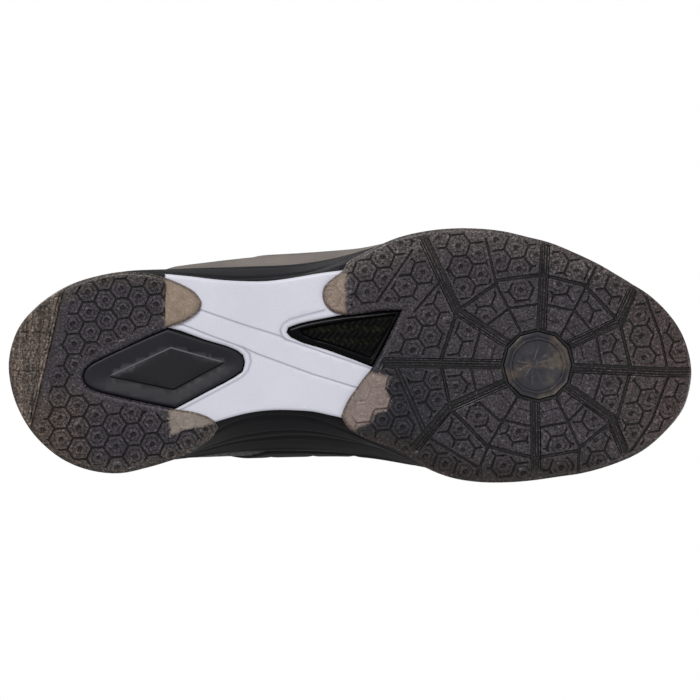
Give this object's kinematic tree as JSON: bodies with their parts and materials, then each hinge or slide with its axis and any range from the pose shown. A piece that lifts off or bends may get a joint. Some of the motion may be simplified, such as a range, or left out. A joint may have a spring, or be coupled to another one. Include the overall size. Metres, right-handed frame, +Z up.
{
  "type": "court shoe",
  "caption": "Low-cut right-foot court shoe for badminton: split rubber tread with an exposed shank plate, padded collar, laced throat, folding tongue and loose insole.",
  "frame": {"origin": "middle of the bounding box in plan, on the ground under the sole", "axes": "+X towards the toe, +Y towards the medial (big toe) side, +Z up"},
  "size_m": [0.2972, 0.1105, 0.1289],
  "materials": {
    "smoke_rubber": "translucent smoky rubber, satin",
    "disc_rubber": "moulded rubber, satin",
    "white_tpu": "moulded polyamide, satin white",
    "black_tpu": "moulded TPU, matt",
    "gloss_black_tpu": "moulded TPU, glossy",
    "carbon": "woven carbon sheet under clear resin",
    "eva_black": "moulded EVA foam, smooth matt skin",
    "foam_grey": "open foam, matt",
    "board_fibre": "non-woven fibre board",
    "mesh_charcoal": "engineered mesh",
    "lining_black": "brushed knit lining",
    "film_taupe": "welded PU film, satin metallic taupe",
    "film_black": "welded PU film, matt black",
    "knit_black": "padded knit",
    "lace_black": "woven flat lace"
  },
  "bodies": {
    "shoe": {"outsole_forefoot": "smoke_rubber", "outsole_heel": "smoke_rubber", "pivot_disc": "disc_rubber", "shank_plate": "white_tpu", "heel_insert": "black_tpu", "window_frame": "gloss_black_tpu", "carbon_plate": "carbon", "midsole": "eva_black", "heel_cushion": "foam_grey", "forefoot_cushion": "foam_grey", "strobel_board": "board_fibre", "vamp": "mesh_charcoal", "quarter_lateral": "mesh_charcoal", "quarter_medial": "mesh_charcoal", "toe_puff": "board_fibre", "heel_counter": "board_fibre", "vamp_lining": "lining_black", "collar_foam": "foam_grey", "heel_lining": "lining_black", "eyestay": "film_black", "toe_guard": "film_black", "heel_clip": "gloss_black_tpu", "side_band_lateral": "film_taupe", "side_band_medial": "film_black", "wing_lateral": "film_taupe", "wing_medial": "film_taupe", "heel_tab": "film_taupe", "tongue": "knit_black", "lace": "lace_black", "aglet_lateral": "gloss_black_tpu", "aglet_medial": "gloss_black_tpu"},
    "tongue_flap": {"tongue_pad": "knit_black"},
    "insole": {"sockliner": "knit_black"}
  },
  "joints": [
    {"name": "tongue_fold", "type": "hinge", "parent": "shoe", "child": "tongue_flap", "pos_m": [-0.03663, 0.00687, 0.10348], "axis": [0, 1, 0], "range_deg": [-8, 65], "stiffness_Nm_per_rad": 0.15},
    {"name": "insole_lift", "type": "hinge", "parent": "shoe", "child": "insole", "pos_m": [0.1325, 0, 0.0213], "axis": [0, 1, 0], "range_deg": [0, 4]}
  ]
}
